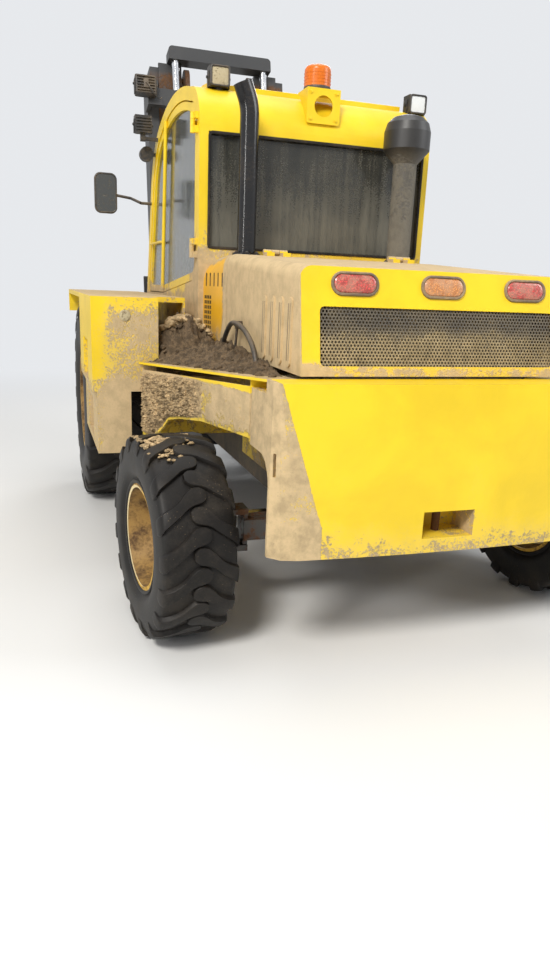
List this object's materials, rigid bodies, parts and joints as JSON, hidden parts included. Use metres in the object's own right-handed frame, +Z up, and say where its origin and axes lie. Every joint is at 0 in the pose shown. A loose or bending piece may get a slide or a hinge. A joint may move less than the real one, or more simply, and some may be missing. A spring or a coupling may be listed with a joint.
{
  "type": "rough terrain forklift",
  "caption": "Rear-engined forklift for rough ground: large lug tyres in front, steered wheels under the counterweight, arched cab and a tilting mast that lifts in stages.",
  "frame": {"origin": "on the ground, at the middle of the overall length and width, between the wheels", "axes": "+X to the driver's left, +Y to the rear, +Z up; the forks point to -Y"},
  "size_m": [2.4, 4.7994, 3.1349],
  "materials": {
    "yellow_paint": "gloss",
    "dark_paint": "satin",
    "bare_steel": "satin",
    "chrome_rod": "polished",
    "chain_steel": "oily",
    "tyre_rubber": "matt",
    "window_glass": "streaked",
    "red_lens": "gloss",
    "amber_lens": "gloss",
    "black_plastic": "matt",
    "seat_cover": "satin",
    "pipe_black": "gloss",
    "iron": "matt"
  },
  "bodies": {
    "chassis": {"air_cleaner": "pipe_black", "beacon": "amber_lens", "beacon_bracket": "yellow_paint", "cab": "yellow_paint", "cab_glass": "window_glass", "chassis_frame": "dark_paint", "console": "black_plastic", "counterweight": "yellow_paint", "cowl": "yellow_paint", "cross_members": "dark_paint", "engine_block": "iron", "exhaust_stack": "pipe_black", "fender_left": "yellow_paint", "fender_right": "yellow_paint", "front_axle": "iron", "mast_clevises": "dark_paint", "mirrors": "black_plastic", "radiator": "dark_paint", "rear_axle": "iron", "roof_panel": "yellow_paint", "seat": "seat_cover", "seat_base": "black_plastic", "side_deck_left": "yellow_paint", "side_deck_right": "yellow_paint", "steering_cylinder": "dark_paint", "steering_wheel": "black_plastic", "tilt_anchors": "dark_paint", "tow_pin": "bare_steel", "work_lights": "black_plastic"},
    "hood_body": {"hood": "yellow_paint", "grille": "dark_paint", "tail_lamps": "red_lens"},
    "door_body": {"door_left": "yellow_paint", "door_glass": "window_glass"},
    "knuckle_left_body": {"knuckle_left": "iron"},
    "knuckle_right_body": {"knuckle_right": "iron"},
    "wheel_front_left": {"tyre_front_left": "tyre_rubber", "rim_front_left": "yellow_paint"},
    "wheel_front_right": {"tyre_front_right": "tyre_rubber", "rim_front_right": "yellow_paint"},
    "wheel_rear_left": {"tyre_rear_left": "tyre_rubber", "rim_rear_left": "yellow_paint"},
    "wheel_rear_right": {"tyre_rear_right": "tyre_rubber", "rim_rear_right": "yellow_paint"},
    "steering_rod_body": {"steering_rod": "chrome_rod"},
    "mast_body": {"mast_outer": "dark_paint", "lift_cylinders": "dark_paint", "mast_lights": "black_plastic"},
    "inner_mast_body": {"mast_inner": "dark_paint", "lift_rods": "chrome_rod", "lift_chains": "chain_steel"},
    "carriage_body": {"carriage": "dark_paint", "backrest": "dark_paint", "forks": "dark_paint"},
    "tilt_barrel_body": {"tilt_barrels": "dark_paint"},
    "tilt_rod_body": {"tilt_rods": "chrome_rod"}
  },
  "joints": [
    {"name": "steer_left", "type": "hinge", "parent": "chassis", "child": "knuckle_left_body", "pos_m": [0.7, 1.7907, 0.418], "axis": [0, 0, 1], "range_deg": [-41.8, 28.2]},
    {"name": "steer_right", "type": "hinge", "parent": "chassis", "child": "knuckle_right_body", "pos_m": [-0.7, 1.7907, 0.418], "axis": [0, 0, 1], "range_deg": [-41.8, 28.2]},
    {"name": "steer_rod", "type": "slide", "parent": "chassis", "child": "steering_rod_body", "axis": [1, 0, 0], "range_m": [-0.1307, 0.0883]},
    {"name": "spin_front_left", "type": "hinge", "parent": "chassis", "child": "wheel_front_left", "pos_m": [0.967, -0.3953, 0.634], "axis": [1, 0, 0], "continuous": true},
    {"name": "spin_front_right", "type": "hinge", "parent": "chassis", "child": "wheel_front_right", "pos_m": [-0.967, -0.3953, 0.634], "axis": [1, 0, 0], "continuous": true},
    {"name": "spin_rear_left", "type": "hinge", "parent": "knuckle_left_body", "child": "wheel_rear_left", "pos_m": [0.94625, 1.82006, 0.418], "axis": [0.993, 0.1184, 0], "continuous": true},
    {"name": "spin_rear_right", "type": "hinge", "parent": "knuckle_right_body", "child": "wheel_rear_right", "pos_m": [-0.94625, 1.76133, 0.418], "axis": [0.993, 0.1184, 0], "continuous": true},
    {"name": "mast_tilt", "type": "hinge", "parent": "chassis", "child": "mast_body", "pos_m": [0, -0.8703, 0.48], "axis": [-1, 0, 0], "range_deg": [0, 22]},
    {"name": "inner_lift", "type": "slide", "parent": "mast_body", "child": "inner_mast_body", "axis": [0, -0.2079, 0.9781], "range_m": [-0.132, 1.868], "deforming": ["lift_chains"]},
    {"name": "carriage_lift", "type": "slide", "parent": "inner_mast_body", "child": "carriage_body", "axis": [0, -0.2079, 0.9781], "range_m": [-0.132, 1.868], "deforming": ["lift_chains"]},
    {"name": "tilt_barrel_swing", "type": "hinge", "parent": "chassis", "child": "tilt_barrel_body", "pos_m": [0, -0.1103, 0.77], "axis": [-1, 0, 0], "range_deg": [-0.1, 0.24]},
    {"name": "tilt_rod_slide", "type": "slide", "parent": "tilt_barrel_body", "child": "tilt_rod_body", "axis": [0, -0.97, 0.2429], "range_m": [-0.1819, 0.0005]},
    {"name": "door_swing", "type": "hinge", "parent": "chassis", "child": "door_body", "pos_m": [0.658, 0.7767, 1.6], "axis": [0, 0, 1], "range_deg": [0, 95]},
    {"name": "hood_lift", "type": "hinge", "parent": "chassis", "child": "hood_body", "pos_m": [0, 1.1697, 1.582], "axis": [1, 0, 0], "range_deg": [0, 62]}
  ],
  "couplings": [
    {"joint": "steer_right", "follows": "steer_left", "ratio": 1},
    {"joint": "steer_rod", "follows": "steer_left", "m_per_rad": 0.1784},
    {"joint": "carriage_lift", "follows": "inner_lift", "ratio": 1},
    {"joint": "tilt_barrel_swing", "follows": "mast_tilt", "ratio": 0.00625},
    {"joint": "tilt_rod_slide", "follows": "mast_tilt", "m_per_rad": -0.47246}
  ]
}
